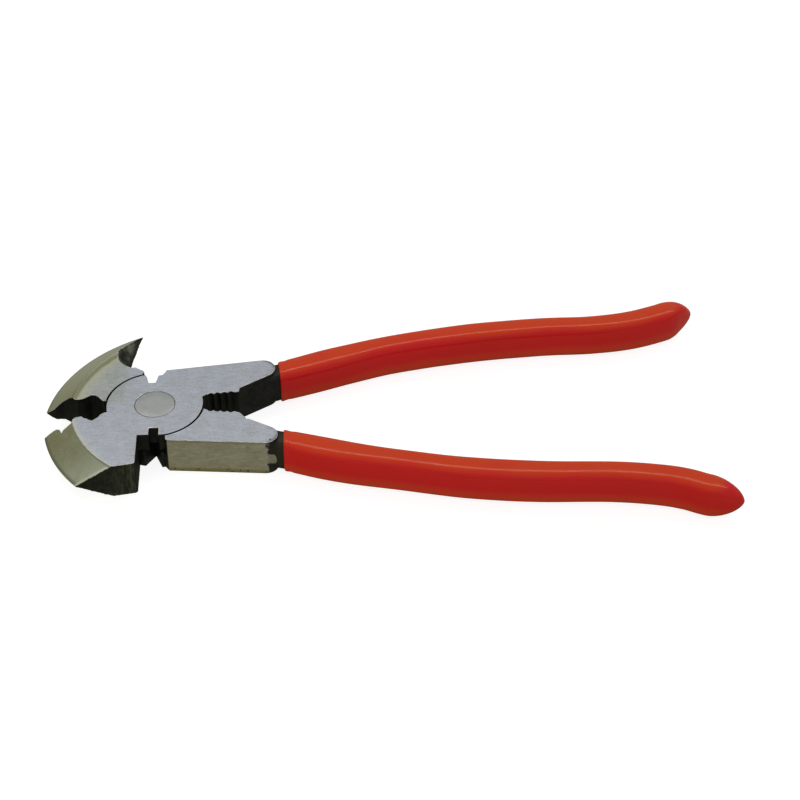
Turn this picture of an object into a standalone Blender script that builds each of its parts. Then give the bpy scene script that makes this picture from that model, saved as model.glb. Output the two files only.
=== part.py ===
"""Fencing pliers: two forged halves lapped on one rivet, each with a dipped grip.

The head lies flat. The origin is on the rivet's axis at the head's underside, +X runs
along the handles and +Z runs up the rivet. The hammer half holds the upper layer of the
lap joint, the handle at +Y and the hammer jaw. The claw half holds the lower layer, the
handle at -Y and the clawed jaw. The handles stand half open.
"""

import math

import bmesh
import bpy
from mathutils import Vector

MM = 0.001

# Head, in millimetres.
HEAD_THICKNESS = 15.6
MID_HEIGHT = HEAD_THICKNESS / 2
DISC_RADIUS = 18.7
LAP_GAP = 0.3
CLEARANCE_RADIUS = DISC_RADIUS + LAP_GAP
ARC_STEP = 4.0
CUT_MARGIN = 1.0

# Both jaws are ground to a double bevel about a point on the handle side of the rivet.
BEVEL_CENTRE_X = 16.0
BEVEL_CENTRE_Y = 2.7
BEVEL_RIDGE_RADIUS = 48.5
BEVEL_EDGE_RADIUS = 59.5
BEVEL_EDGE_LAND = 0.4
BEVEL_SEGMENTS = 120

# Rivet: countersunk at both ends and ground flush.
RIVET_HEAD_RADIUS = 7.55
RIVET_SHANK_RADIUS = 6.0
RIVET_HEAD_RIM = 0.8
RIVET_HEAD_DEPTH = 3.0
RIVET_GAP = 0.25
RIVET_SEGMENTS = 48

# Teeth between the shanks.
TOOTH_COUNT = 4
TOOTH_DEPTH = 0.8
TOOTH_POINTS = 4

# Handles: a forged tang inside a dipped grip.
SECTION_SIDES = 20
SECTION_POWER = 3.4
TIP_SECTION_POWER = 2.2
NECK_WIDTH = 10.4
NECK_HEIGHT = 13.6
NECK_END = 50.0
TANG_START = 62.0
TANG_WIDTH = 9.3
TANG_HEIGHT = 12.7
TANG_RINGS = 18
GRIP_HEIGHT = 15.0
GRIP_GAP = 0.3
GRIP_RINGS = 26
TANG_SHORTFALL = 13.0
HAMMER_MOUTH_SKEW = 0.27
CLAW_MOUTH_SKEW = -0.33
MOUTH_SKEW_LENGTH = 16.0
TIP_LENGTH = 12.0
TIP_RINGS = 6
TIP_OPENING = 0.4
TIP_POWER = 0.62
SEARCH_STEPS = 40

# Width of a grip at each distance along X.
GRIP_WIDTHS = (
    (44.0, 11.6),
    (65.0, 12.8),
    (92.0, 11.4),
    (125.0, 12.0),
    (172.0, 11.3),
    (200.0, 11.8),
    (222.0, 11.6),
)

# Corner points of the halves, seen from above. Each list runs counter-clockwise. Angles are
# in degrees from +X, and those of a disc say where its round stretches start and end.
SHANK_TIP_STEP = 14
HAMMER_DISC_BACK = (104.0, 251.6)
HAMMER_DISC_FRONT = (-75.8, 11.0)
CLAW_DISC_FRONT = (-9.7, 75.8)
CLAW_DISC_BACK = (108.4, 256.7)
HAMMER_MOUTH = (
    (-18.6, -3.7),
    (-20.5, -4.9),
    (-21.6, -6.8),
    (-23.4, -8.4),
    (-24.8, -7.9),
    (-25.5, -7.2),
    (-26.6, -6.9),
    (-27.6, -5.8),
    (-29.8, -6.2),
    (-30.9, -7.2),
    (-31.4, -9.3),
    (-33.9, -10.3),
    (-34.5, -10.5),
    (-35.2, -11.5),
    (-35.9, -9.4),
    (-37.3, -8.2),
    (-38.6, -8.1),
    (-39.8, -8.3),
)
HAMMER_NOSE = ((-42.2, -9.1), (-47.0, -11.0))
HAMMER_FACE = ((-47.0, -40.5), (-6.7, -34.0), (-5.9, -33.2))
HAMMER_FACE_DRAFT = 0.7
HAMMER_ROOT = ((-5.9, -12.0), (-12.0, -2.4))
HAMMER_FRONT = ((-5.9, -18.1), (-1.6, -18.1), (-1.6, -13.9), (2.1, -13.9), (2.1, -18.3))
HAMMER_TOOTH_START = (20.0, 4.8)
HAMMER_TOOTH_END = (30.4, 5.7)
HAMMER_INNER_EDGE = ((32.2, 6.0), (32.5, 8.3))
HAMMER_TIP_CENTRE = (41.2, 19.9)
HAMMER_TIP_RADIUS = 5.1
HAMMER_TIP_ANGLES = (-60, 97)
HAMMER_NOTCH = (
    (3.6, 20.6),
    (2.0, 17.7),
    (0.7, 17.5),
    (-0.3, 13.1),
    (-3.0, 13.1),
    (-3.9, 16.6),
)

CLAW_MOUTH = (
    (-42.8, 5.9),
    (-40.7, 5.3),
    (-39.0, 5.3),
    (-37.6, 6.4),
    (-36.0, 7.3),
    (-33.4, 7.0),
    (-32.0, 5.8),
    (-31.3, 4.6),
    (-30.3, 4.2),
    (-28.0, 4.5),
    (-26.6, 5.4),
    (-25.1, 6.6),
    (-23.4, 6.6),
    (-21.9, 5.4),
    (-20.9, 3.9),
    (-19.8, 2.8),
    (-18.7, 2.5),
)
CLAW_ROOT = ((-12.0, 1.6), (-5.0, 12.0))
CLAW_TAIL = ((-5.9, 18.4), (-5.0, 19.8), (-5.5, 20.7))
CLAW_SPIKE_END = ((-47.0, 55.0), (-47.0, 7.5))
CLAW_BACK = ((2.1, 18.3), (2.1, 13.9), (-1.6, 13.9), (-1.6, 18.1), (-5.9, 18.1))
CLAW_NOTCH = ((-3.7, -18.2), (0.0, -12.9), (2.6, -19.3), (3.8, -19.1), (5.4, -21.3))
CLAW_TIP_CENTRE = (42.4, -19.8)
CLAW_TIP_RADIUS = 4.9
CLAW_TIP_ANGLES = (-94, 58)
CLAW_INNER_EDGE = ((36.3, -10.4), (35.4, -10.3), (33.2, -7.0), (32.6, -6.4))
CLAW_RELIEF = ((-5.0, -22.0), (4.7, -22.0), (4.7, -15.0), (-5.0, -15.0))
CLAW_TOOTH_START = (30.6, -5.6)
CLAW_TOOTH_END = (20.2, -4.2)

# The spike's back edge lies at mid-height. A forged flank slopes up from it on each side
# to a line on the flat face, given point for point.
SPIKE_BACK = (
    (-9.2, 23.3),
    (-10.1, 23.6),
    (-11.2, 25.5),
    (-12.0, 27.2),
    (-12.2, 29.3),
    (-12.0, 31.0),
    (-11.5, 33.0),
    (-10.9, 36.3),
    (-10.0, 41.0),
    (-8.0, 51.5),
    (-7.3, 55.0),
)
SPIKE_FLANK_TOP = (
    (-9.9, 22.8),
    (-10.9, 23.1),
    (-12.1, 23.9),
    (-13.7, 25.2),
    (-15.2, 27.1),
    (-16.0, 29.3),
    (-16.2, 32.0),
    (-15.9, 36.5),
    (-15.0, 41.2),
    (-13.0, 51.5),
    (-12.3, 55.0),
)
SPIKE_FLANK_CLEAR = ((-3.0, 55.0), (-3.0, 24.5))
SPIKE_FLANK_REACH = 1.3
SPIKE_EDGE_SHIFT = 0.15

# Handle centrelines, seen from above, from inside the shank to the end of the grip.
HAMMER_LINE = (
    (33.0, 14.6),
    (47.5, 20.4),
    (56.0, 23.5),
    (75.0, 30.2),
    (95.0, 36.0),
    (124.0, 41.4),
    (154.0, 44.0),
    (174.0, 44.3),
    (190.0, 46.4),
    (203.5, 50.8),
    (210.5, 54.5),
    (217.6, 57.0),
)
CLAW_LINE = (
    (33.0, -15.1),
    (47.5, -19.9),
    (56.0, -22.8),
    (74.0, -28.9),
    (92.0, -33.6),
    (118.0, -39.4),
    (145.0, -42.9),
    (172.0, -44.4),
    (189.0, -46.9),
    (198.5, -49.6),
    (206.5, -53.4),
    (218.9, -57.6),
)
HAMMER_GRIP_START = 47.7
CLAW_GRIP_START = 49.4

SHARP_ANGLE = math.radians(35)


def clear_scene():
    for obj in list(bpy.data.objects):
        bpy.data.objects.remove(obj, do_unlink=True)


def make_material(name, colour, roughness, metallic):
    """Returns a Principled material with a plain colour."""
    material = bpy.data.materials.new(name)
    material.use_nodes = True
    shader = material.node_tree.nodes["Principled BSDF"]
    shader.inputs["Base Color"].default_value = (*colour, 1.0)
    shader.inputs["Roughness"].default_value = roughness
    shader.inputs["Metallic"].default_value = metallic
    material.diffuse_color = (*colour, 1.0)
    return material


def link_mesh(name, points, faces):
    """Makes an object from points in millimetres, with its faces turned outwards."""
    mesh = bpy.data.meshes.new(name)
    mesh.from_pydata([Vector(point) * MM for point in points], [], faces)
    shape = bmesh.new()
    shape.from_mesh(mesh)
    bmesh.ops.recalc_face_normals(shape, faces=shape.faces)
    shape.to_mesh(mesh)
    shape.free()
    obj = bpy.data.objects.new(name, mesh)
    bpy.context.scene.collection.objects.link(obj)
    return obj


def arc(centre, radius, start, end, step=ARC_STEP):
    """Returns points on a round stretch from one angle to another, in degrees."""
    count = max(2, round(abs(end - start) / step))
    angles = [math.radians(start + (end - start) * i / count) for i in range(count + 1)]
    return [
        (centre[0] + radius * math.cos(a), centre[1] + radius * math.sin(a)) for a in angles
    ]


def scallops(start, end):
    """Returns the round teeth between two points, hollowed to the left of the way along."""
    along = Vector(end) - Vector(start)
    inward = Vector((-along.y, along.x)).normalized()
    points = []
    for tooth in range(TOOTH_COUNT):
        for i in range(TOOTH_POINTS):
            share = (tooth + i / TOOTH_POINTS) / TOOTH_COUNT
            depth = TOOTH_DEPTH * math.sin(math.pi * i / TOOTH_POINTS)
            points.append(tuple(Vector(start) + along * share + inward * depth))
    return [*points, end]


def prism(name, outline, low, high, base=None):
    """Makes a solid between an outline at one height and its base, or itself, at another."""
    count = len(outline)
    points = [(x, y, low) for x, y in base or outline]
    points += [(x, y, high) for x, y in outline]
    faces = [tuple(range(count - 1, -1, -1)), tuple(range(count, 2 * count))]
    faces += [
        (i, (i + 1) % count, (i + 1) % count + count, i + count) for i in range(count)
    ]
    return link_mesh(name, points, faces)


def turned(name, profile, centre, segments):
    """Makes a solid of revolution about an upright axis from (radius, height) points."""
    points = []
    for radius, height in profile:
        for i in range(segments):
            angle = 2 * math.pi * i / segments
            x = centre[0] + radius * math.cos(angle)
            y = centre[1] + radius * math.sin(angle)
            points.append((x, y, height))
    rows = len(profile)
    faces = [tuple(range(segments)), tuple(range((rows - 1) * segments, rows * segments))]
    for row in range(rows - 1):
        for i in range(segments):
            after = (i + 1) % segments
            low, high = row * segments, (row + 1) * segments
            faces.append((low + i, low + after, high + after, high + i))
    return link_mesh(name, points, faces)


def boolean(obj, operation, other):
    """Adds a Boolean modifier and hides the other shape from the result."""
    modifier = obj.modifiers.new(f"{operation.lower()} {other.name}", "BOOLEAN")
    modifier.operation = operation
    modifier.solver = "EXACT"
    modifier.object = other
    other.hide_render = True
    other.display_type = "WIRE"


def smooth_point(line, share):
    """Returns a point and a direction on the smooth curve through the line's points."""
    spans = len(line) - 1
    index = min(int(share * spans), spans - 1)
    t = share * spans - index
    p1, p2 = Vector(line[index]), Vector(line[index + 1])
    p0 = Vector(line[index - 1]) if index > 0 else 2 * p1 - p2
    p3 = Vector(line[index + 2]) if index + 2 < len(line) else 2 * p2 - p1
    a = 2 * p1
    b = p2 - p0
    c = 2 * p0 - 5 * p1 + 4 * p2 - p3
    d = 3 * p1 - p0 - 3 * p2 + p3
    point = (a + b * t + c * t * t + d * t**3) / 2
    direction = (b + 2 * c * t + 3 * d * t * t) / 2
    return point, direction.normalized()


def share_at_x(line, x):
    """Returns how far along the curve it crosses an X."""
    low, high = 0.0, 1.0
    for _ in range(SEARCH_STEPS):
        middle = (low + high) / 2
        if smooth_point(line, middle)[0].x < x:
            low = middle
        else:
            high = middle
    return low


def section(line, share, width, height, skew=0.0, power=SECTION_POWER):
    """Returns the rounded cross-section of a handle, upright across its centreline."""
    centre, direction = smooth_point(line, share)
    across = Vector((-direction.y, direction.x)) + direction * skew
    points = []
    for i in range(SECTION_SIDES):
        angle = 2 * math.pi * (i + 0.5) / SECTION_SIDES
        c, s = math.cos(angle), math.sin(angle)
        side = math.copysign(abs(c) ** (2 / power), c) * width / 2
        rise = math.copysign(abs(s) ** (2 / power), s) * height / 2
        place = centre + across * side
        points.append((place.x, place.y, MID_HEIGHT + rise))
    return points


def loft(name, rings):
    """Joins cross-sections into one closed solid with flat ends."""
    sides = len(rings[0])
    points = [point for ring in rings for point in ring]
    faces = [tuple(range(sides)), tuple(range((len(rings) - 1) * sides, len(points)))]
    for row in range(len(rings) - 1):
        for i in range(sides):
            after = (i + 1) % sides
            low, high = row * sides, (row + 1) * sides
            faces.append((low + i, low + after, high + after, high + i))
    return link_mesh(name, points, faces)


def shares(low, high, count):
    return [low + (high - low) * i / count for i in range(count + 1)]


def bar_section(line, share, growth=0.0, skew=0.0):
    """Returns the forged bar's cross-section, which is thickest at the neck, grown all round."""
    x = smooth_point(line, share)[0].x
    slim = min(1.0, max(0.0, (x - NECK_END) / (TANG_START - NECK_END)))
    width = NECK_WIDTH + (TANG_WIDTH - NECK_WIDTH) * slim + 2 * growth
    height = NECK_HEIGHT + (TANG_HEIGHT - NECK_HEIGHT) * slim + 2 * growth
    return section(line, share, width, height, skew)


def make_tang(name, line):
    """Makes the forged bar that runs from inside the shank into the grip."""
    end = share_at_x(line, line[-1][0] - TANG_SHORTFALL)
    return loft(name, [bar_section(line, share) for share in shares(0, end, TANG_RINGS)])


def grip_width(x):
    """Returns a grip's width at a distance along X, eased between the given widths."""
    for (x0, width0), (x1, width1) in zip(GRIP_WIDTHS, GRIP_WIDTHS[1:]):
        if x <= x1:
            share = (x - x0) / (x1 - x0)
            return width0 + (width1 - width0) * (1 - math.cos(math.pi * share)) / 2
    return GRIP_WIDTHS[-1][1]


def skew_at(x, start_x, mouth_skew):
    """Returns the slant of a grip's section, which fades away behind its mouth."""
    return mouth_skew * max(0.0, 1 - (x - start_x) / MOUTH_SKEW_LENGTH)


def make_grip(name, line, start_x, mouth_skew, material):
    """Makes a dipped grip: a sleeve round the tang with a mouth and a rounded end."""
    start = share_at_x(line, start_x)
    tip_start = share_at_x(line, line[-1][0] - TIP_LENGTH)
    socket_end = share_at_x(line, line[-1][0] - TANG_SHORTFALL + 2 * GRIP_GAP)
    rings = []
    for share in shares(socket_end, start, TANG_RINGS):
        skew = skew_at(smooth_point(line, share)[0].x, start_x, mouth_skew)
        rings.append(bar_section(line, share, GRIP_GAP, skew))
    for share in shares(start, tip_start, GRIP_RINGS):
        x = smooth_point(line, share)[0].x
        skew = skew_at(x, start_x, mouth_skew)
        rings.append(section(line, share, grip_width(x), GRIP_HEIGHT, skew))
    end_width = grip_width(line[-1][0])
    for i in range(1, TIP_RINGS + 1):
        reach = math.sin(math.pi / 2 * i / (TIP_RINGS + TIP_OPENING))
        share = tip_start + (1 - tip_start) * reach
        size = (1 - reach**2) ** TIP_POWER
        power = SECTION_POWER + (TIP_SECTION_POWER - SECTION_POWER) * reach
        rings.append(section(line, share, end_width * size, GRIP_HEIGHT * size, 0.0, power))
    return finish(loft(name, rings), material)


def finish(obj, material):
    """Gives an object its material and smooth shading with sharp edges."""
    obj.data.materials.append(material)
    obj.data.shade_smooth()
    obj.data.set_sharp_from_angle(angle=SHARP_ANGLE)
    return obj


def bevel_solid(name, side):
    """Makes the double cone that a jaw is ground to, on the hammer or the claw side."""
    land = BEVEL_EDGE_LAND / 2
    profile = (
        (BEVEL_RIDGE_RADIUS, 0),
        (BEVEL_EDGE_RADIUS, MID_HEIGHT - land),
        (BEVEL_EDGE_RADIUS, MID_HEIGHT + land),
        (BEVEL_RIDGE_RADIUS, HEAD_THICKNESS),
    )
    return turned(name, profile, (BEVEL_CENTRE_X, side * BEVEL_CENTRE_Y), BEVEL_SEGMENTS)


def rivet_profile(gap, ends):
    """Returns the rivet's outline grown by a gap and lengthened at both ends."""
    head, shank = RIVET_HEAD_RADIUS + gap, RIVET_SHANK_RADIUS + gap
    return (
        (head, -ends),
        (head, RIVET_HEAD_RIM),
        (shank, RIVET_HEAD_DEPTH),
        (shank, HEAD_THICKNESS - RIVET_HEAD_DEPTH),
        (head, HEAD_THICKNESS - RIVET_HEAD_RIM),
        (head, HEAD_THICKNESS + ends),
    )


def cut_joint(obj, name, low, high):
    """Clears the other half's disc from one layer of the head, and bores the rivet's hole."""
    circle = arc((0, 0), CLEARANCE_RADIUS, 0, 360)[:-1]
    boolean(obj, "DIFFERENCE", prism(f"{name}_lap", circle, low, high))
    profile = rivet_profile(RIVET_GAP, CUT_MARGIN)
    bore = turned(f"{name}_bore", profile, (0, 0), RIVET_SEGMENTS)
    boolean(obj, "DIFFERENCE", bore)


def make_hammer_half(material):
    """Makes the half with the hammer face, the upper disc and the handle at +Y."""
    outline = arc((0, 0), DISC_RADIUS, *HAMMER_DISC_BACK)
    outline += HAMMER_FRONT
    outline += arc((0, 0), DISC_RADIUS, *HAMMER_DISC_FRONT)
    outline += scallops(HAMMER_TOOTH_START, HAMMER_TOOTH_END)
    outline += HAMMER_INNER_EDGE
    outline += arc(HAMMER_TIP_CENTRE, HAMMER_TIP_RADIUS, *HAMMER_TIP_ANGLES, SHANK_TIP_STEP)
    outline += HAMMER_NOTCH
    half = prism("hammer_half", outline, 0, HEAD_THICKNESS)
    jaw_outline = HAMMER_MOUTH + HAMMER_NOSE + HAMMER_FACE + HAMMER_ROOT
    drafted_face = tuple((x, y + HAMMER_FACE_DRAFT) for x, y in HAMMER_FACE)
    jaw_base = HAMMER_MOUTH + HAMMER_NOSE + drafted_face + HAMMER_ROOT
    jaw = prism("hammer_jaw", jaw_outline, 0, HEAD_THICKNESS, jaw_base)
    boolean(jaw, "INTERSECT", bevel_solid("hammer_bevel", 1))
    boolean(half, "UNION", jaw)
    cut_joint(half, "hammer", -CUT_MARGIN, MID_HEIGHT + LAP_GAP / 2)
    boolean(half, "UNION", make_tang("hammer_tang", HAMMER_LINE))
    return finish(half, material)


def cut_flank(jaw, name, facing):
    """Slopes the spike's upper (1) or lower (-1) side down to a narrow back edge."""
    low_line = [(x + SPIKE_EDGE_SHIFT, y) for x, y in SPIKE_BACK + SPIKE_FLANK_CLEAR]
    top_line = [(x + SPIKE_EDGE_SHIFT, y) for x, y in SPIKE_FLANK_TOP + SPIKE_FLANK_CLEAR]
    beyond = [
        tuple(Vector(low) + (Vector(top) - Vector(low)) * SPIKE_FLANK_REACH)
        for low, top in zip(low_line, top_line)
    ]
    end = MID_HEIGHT + facing * MID_HEIGHT * SPIKE_FLANK_REACH
    boolean(jaw, "DIFFERENCE", prism(name, beyond, MID_HEIGHT, end, low_line))


def make_claw_half(material):
    """Makes the half with the claw and spike, the lower disc and the handle at -Y."""
    outline = arc((0, 0), DISC_RADIUS, *CLAW_DISC_FRONT)
    outline += CLAW_BACK
    outline += arc((0, 0), DISC_RADIUS, *CLAW_DISC_BACK)
    outline += CLAW_NOTCH
    outline += arc(CLAW_TIP_CENTRE, CLAW_TIP_RADIUS, *CLAW_TIP_ANGLES, SHANK_TIP_STEP)
    outline += CLAW_INNER_EDGE
    outline += scallops(CLAW_TOOTH_START, CLAW_TOOTH_END)
    half = prism("claw_half", outline, 0, HEAD_THICKNESS)
    jaw_outline = CLAW_MOUTH + CLAW_ROOT + CLAW_TAIL + SPIKE_BACK + CLAW_SPIKE_END
    jaw = prism("claw_jaw", jaw_outline, 0, HEAD_THICKNESS)
    boolean(jaw, "INTERSECT", bevel_solid("claw_bevel", -1))
    cut_flank(jaw, "upper_flank", 1)
    cut_flank(jaw, "lower_flank", -1)
    boolean(half, "UNION", jaw)
    above = HEAD_THICKNESS + CUT_MARGIN
    middle = MID_HEIGHT - LAP_GAP / 2
    boolean(half, "DIFFERENCE", prism("claw_relief", CLAW_RELIEF, middle, above))
    cut_joint(half, "claw", middle, above)
    boolean(half, "UNION", make_tang("claw_tang", CLAW_LINE))
    return finish(half, material)


def make_rivet(material):
    """Makes the rivet that both halves turn on."""
    rivet = turned("pivot_rivet", rivet_profile(0, 0), (0, 0), RIVET_SEGMENTS)
    return finish(rivet, material)


def main():
    clear_scene()
    ground_steel = make_material("ground_steel", (0.36, 0.38, 0.41), 0.45, 0.9)
    rivet_steel = make_material("rivet_steel", (0.36, 0.37, 0.36), 0.5, 0.9)
    red_vinyl = make_material("red_vinyl", (0.62, 0.05, 0.015), 0.3, 0.0)
    make_hammer_half(ground_steel)
    make_claw_half(ground_steel)
    make_rivet(rivet_steel)
    hammer_mouth = (HAMMER_GRIP_START, HAMMER_MOUTH_SKEW)
    claw_mouth = (CLAW_GRIP_START, CLAW_MOUTH_SKEW)
    make_grip("hammer_half_grip", HAMMER_LINE, *hammer_mouth, red_vinyl)
    make_grip("claw_half_grip", CLAW_LINE, *claw_mouth, red_vinyl)


main()
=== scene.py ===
"""The looks of the fencing pliers: ground and forged steel halves, a flush rivet and dipped
vinyl grips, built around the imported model, on a pale floor under soft studio light.

Lengths below are millimetres unless a name says otherwise, and MM turns them into metres.
"""

import math

import bmesh
import bpy
from mathutils import Matrix, Vector, noise


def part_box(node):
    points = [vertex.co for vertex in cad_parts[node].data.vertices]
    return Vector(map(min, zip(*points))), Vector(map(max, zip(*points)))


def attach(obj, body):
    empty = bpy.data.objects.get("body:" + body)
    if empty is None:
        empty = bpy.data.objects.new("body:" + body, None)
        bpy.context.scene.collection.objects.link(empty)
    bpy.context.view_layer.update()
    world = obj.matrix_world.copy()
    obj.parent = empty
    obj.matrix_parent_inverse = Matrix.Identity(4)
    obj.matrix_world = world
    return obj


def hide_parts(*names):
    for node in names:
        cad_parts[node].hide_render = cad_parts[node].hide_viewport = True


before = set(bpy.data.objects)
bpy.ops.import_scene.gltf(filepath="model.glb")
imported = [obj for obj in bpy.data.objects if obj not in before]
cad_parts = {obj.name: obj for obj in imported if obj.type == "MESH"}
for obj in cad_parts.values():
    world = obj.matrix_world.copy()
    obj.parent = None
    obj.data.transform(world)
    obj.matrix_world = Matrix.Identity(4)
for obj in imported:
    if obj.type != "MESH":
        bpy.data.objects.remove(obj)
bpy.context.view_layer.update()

MM = 0.001
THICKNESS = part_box("pivot_rivet")[1].z / MM
MID_HEIGHT = THICKNESS / 2

# Where the forged shapes lie, as in the part's design. A bevel's radii are at its ridge and at
# its outer edge.
BEVEL_CENTRE = {"hammer_half": Vector((16.0, 2.7)), "claw_half": Vector((16.0, -2.7))}
BEVEL_RIDGE_RADIUS = 48.5
BEVEL_EDGE_RADIUS = 59.5
DISC_RADIUS = 18.85
JAW_END = -5.0
POLL_START = -33.0
STRIKE_START = Vector((-47.0, -40.5))
STRIKE_END = Vector((-6.7, -34.0))
SPIKE_START = 22.6
SHANK_SIDE_START = 5.3
SHANK_SIDE_END = 47.0
SHANK_SIDE_WIDTH = 17.0
NECK_START = 46.0

# Points whose edges stay sharp, and how far from each.
SPIKE_TIP = Vector((-8.1, 51.6))
SPIKE_TIP_REACH = 3.0
HAMMER_POINT = Vector((-28.9, -37.1))
HAMMER_POINT_REACH = 1.2
SHARP_POINTS = ((SPIKE_TIP, SPIKE_TIP_REACH), (HAMMER_POINT, HAMMER_POINT_REACH))

# Each shank's round tip: the middle and the radius of its outline.
SHANK_TIPS = ((41.2, 19.9, 5.1), (42.4, -19.8, 4.9))

# Single marks: where each is, and how far it reaches.
SHANK_PIT = ((44.4, -22.9, THICKNESS), 0.55)
BARE_PATCH = ((44.2, -25.0, 7.2), 3.2)
JAW_DARK_PATCH = ((-37.0, -15.5, 11.2), 5.0)
# The spike's spot is painted light on a facet of its flank.
SPIKE_FACET_LIGHT = ((-11.8, 41.5, 11.0), 4.0)

# The painted olive reflection along the claw's ridge: its radius, and how it moves inwards along
# Y.
RIDGE_REFLECTION_RADIUS = 48.6
RIDGE_LEAN = 0.055

# Where the black scale on a shank's side starts, before its edge is made ragged.
SCALE_START = 45.1

# Cleaning and rounding of the halves. Angles are in degrees.
WELD_DISTANCE = 0.001
DISSOLVE_ANGLE = 0.4
MERGE_DISTANCE = 0.26
LEVEL_NORMAL = 0.99
ROUND_FROM_ANGLE = 28
EDGE_ROUND = 0.2
GAP_ROUND = 0.26
GAP_EDGE_REACH = 0.6
GAP_STRIP_REACH = 0.8
POCKET_REACH = 1.5

# Serrations on the striking face.
SERRATION_PITCH = 1.55
SERRATION_DEPTH = 0.34
SERRATION_FADE = 1.6
SERRATION_BORDER_SHARE = 0.3

# Forging relief: the longest edge it leaves, how deep its lumps are, and the spike's pit.
RELIEF_ROUNDS = 6
RELIEF_STEP = 1.1
RELIEF_DEPTH = 0.16
LUMP_SIZE = 3.5
FINE_LUMP_SIZE = 1.6
FINE_LUMP_SHIFT = Vector((7, 3, 1))
SPIKE_RELIEF_DEPTH = 0.35
SPIKE_PIT = (-14.4, 33.3, 12.6)
SPIKE_PIT_RADIUS = 3.0
SPIKE_PIT_DEPTH = 0.8

# Steel finishes, in the order of the material slots on both halves.
FLAT, BEVEL, SIDE, EDGE, FORGED, STRIKE, SPIKE = range(7)
ROUGH = (FORGED, SPIKE)

# Handle centrelines, seen from above, as in the part's design.
HAMMER_LINE = (
    (33.0, 14.6),
    (47.5, 20.4),
    (56.0, 23.5),
    (75.0, 30.2),
    (95.0, 36.0),
    (124.0, 41.4),
    (154.0, 44.0),
    (174.0, 44.3),
    (190.0, 46.4),
    (203.5, 50.8),
    (210.5, 54.5),
    (217.6, 57.0),
)
CLAW_LINE = (
    (33.0, -15.1),
    (47.5, -19.9),
    (56.0, -22.8),
    (74.0, -28.9),
    (92.0, -33.6),
    (118.0, -39.4),
    (145.0, -42.9),
    (172.0, -44.4),
    (189.0, -46.9),
    (198.5, -49.6),
    (206.5, -53.4),
    (218.9, -57.6),
)

# Grip widths at distances along X.
GRIP_WIDTHS = (
    (44.0, 11.6),
    (65.0, 12.8),
    (92.0, 11.4),
    (125.0, 12.0),
    (172.0, 11.3),
    (200.0, 11.8),
    (222.0, 11.6),
)

# Each grip's node, body and centreline, then where its mouth is and how it slants.
GRIPS = (
    ("hammer_half_grip", "hammer_side", HAMMER_LINE, 47.7, 0.27),
    ("claw_half_grip", "claw_side", CLAW_LINE, 49.4, -0.33),
)
MOUTH_SKEW_LENGTH = 16.0
GRIP_HEIGHT = 15.0
GRIP_INSET = 0.08
GRIP_SIDES = 56
GRIP_RINGS = 110
RING_CROWDING = 1.6
SOCKET_RINGS = 30
SECTION_POWER = 3.4

# The rolled lip of a grip's mouth: its radius, how far it slims, and the dip behind it.
LIP_ROUND = 0.7
LIP_ROLL = 1.4
LIP_DIP = 0.3
LIP_LENGTH = 4.5

# The grip's closed tip, and the wave of its dipped skin along, across and up.
TIP_SECTION_POWER = 2.2
TIP_LENGTH = 12.0
TIP_RINGS = 14
TIP_OPENING = 0.25
TIP_POWER = 0.62
DIP_WAVE = 0.1
DIP_WAVE_LENGTHS = (16, 9, 9)

# The forged bar inside the grip, and the gap round it.
NECK_WIDTH = 10.4
NECK_HEIGHT = 13.6
NECK_END = 50.0
TANG_START = 62.0
TANG_WIDTH = 9.3
TANG_HEIGHT = 12.7
TANG_SHORTFALL = 13.0
GRIP_GAP = 0.3

# Rivet.
RIVET_RADIUS = 7.66
RIVET_SHANK = 6.0
RIVET_RIM = 0.8
RIVET_CONE = 3.0
RIVET_ROUND = 0.12
RIVET_DISH = 0.04
RIVET_SIDES = 96

# Sky colours from straight down (-1) to straight up (1), and what parts of it are multiplied by.
SKY = (
    (-1.0, (0.05, 0.045, 0.03)),
    (-0.82, (0.22, 0.20, 0.14)),
    (-0.62, (0.42, 0.40, 0.30)),
    (-0.3, (0.52, 0.50, 0.39)),
    (-0.12, (0.54, 0.53, 0.43)),
    (0.04, (0.30, 0.30, 0.20)),
    (0.2, (0.42, 0.41, 0.33)),
    (0.38, (0.50, 0.505, 0.46)),
    (0.64, (0.44, 0.48, 0.545)),
    (1.0, (0.44, 0.44, 0.45)),
)
SKY_LEFT = (0.74, 0.74, 0.52)
SKY_FRONT = (1.35, 1.25, 1.15)
SKY_LOW_BACK = (0.15, 0.16, 0.14)

# The stage, in metres.
FLOOR_REACH = 3.0
FLOOR_DROP = 0.0002
CAMERA_PLACE = (0.0675, -0.5706, 0.4926)
CAMERA_RIGHT = Vector((0.99883, -0.04836, -0.00135))
CAMERA_UP = Vector((0.03210, 0.64166, 0.76631))
CAMERA_LENS = 86.63


def clamp(value, low=0.0, high=1.0):
    return min(high, max(low, value))


# Materials ------------------------------------------------------------------------------


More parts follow.
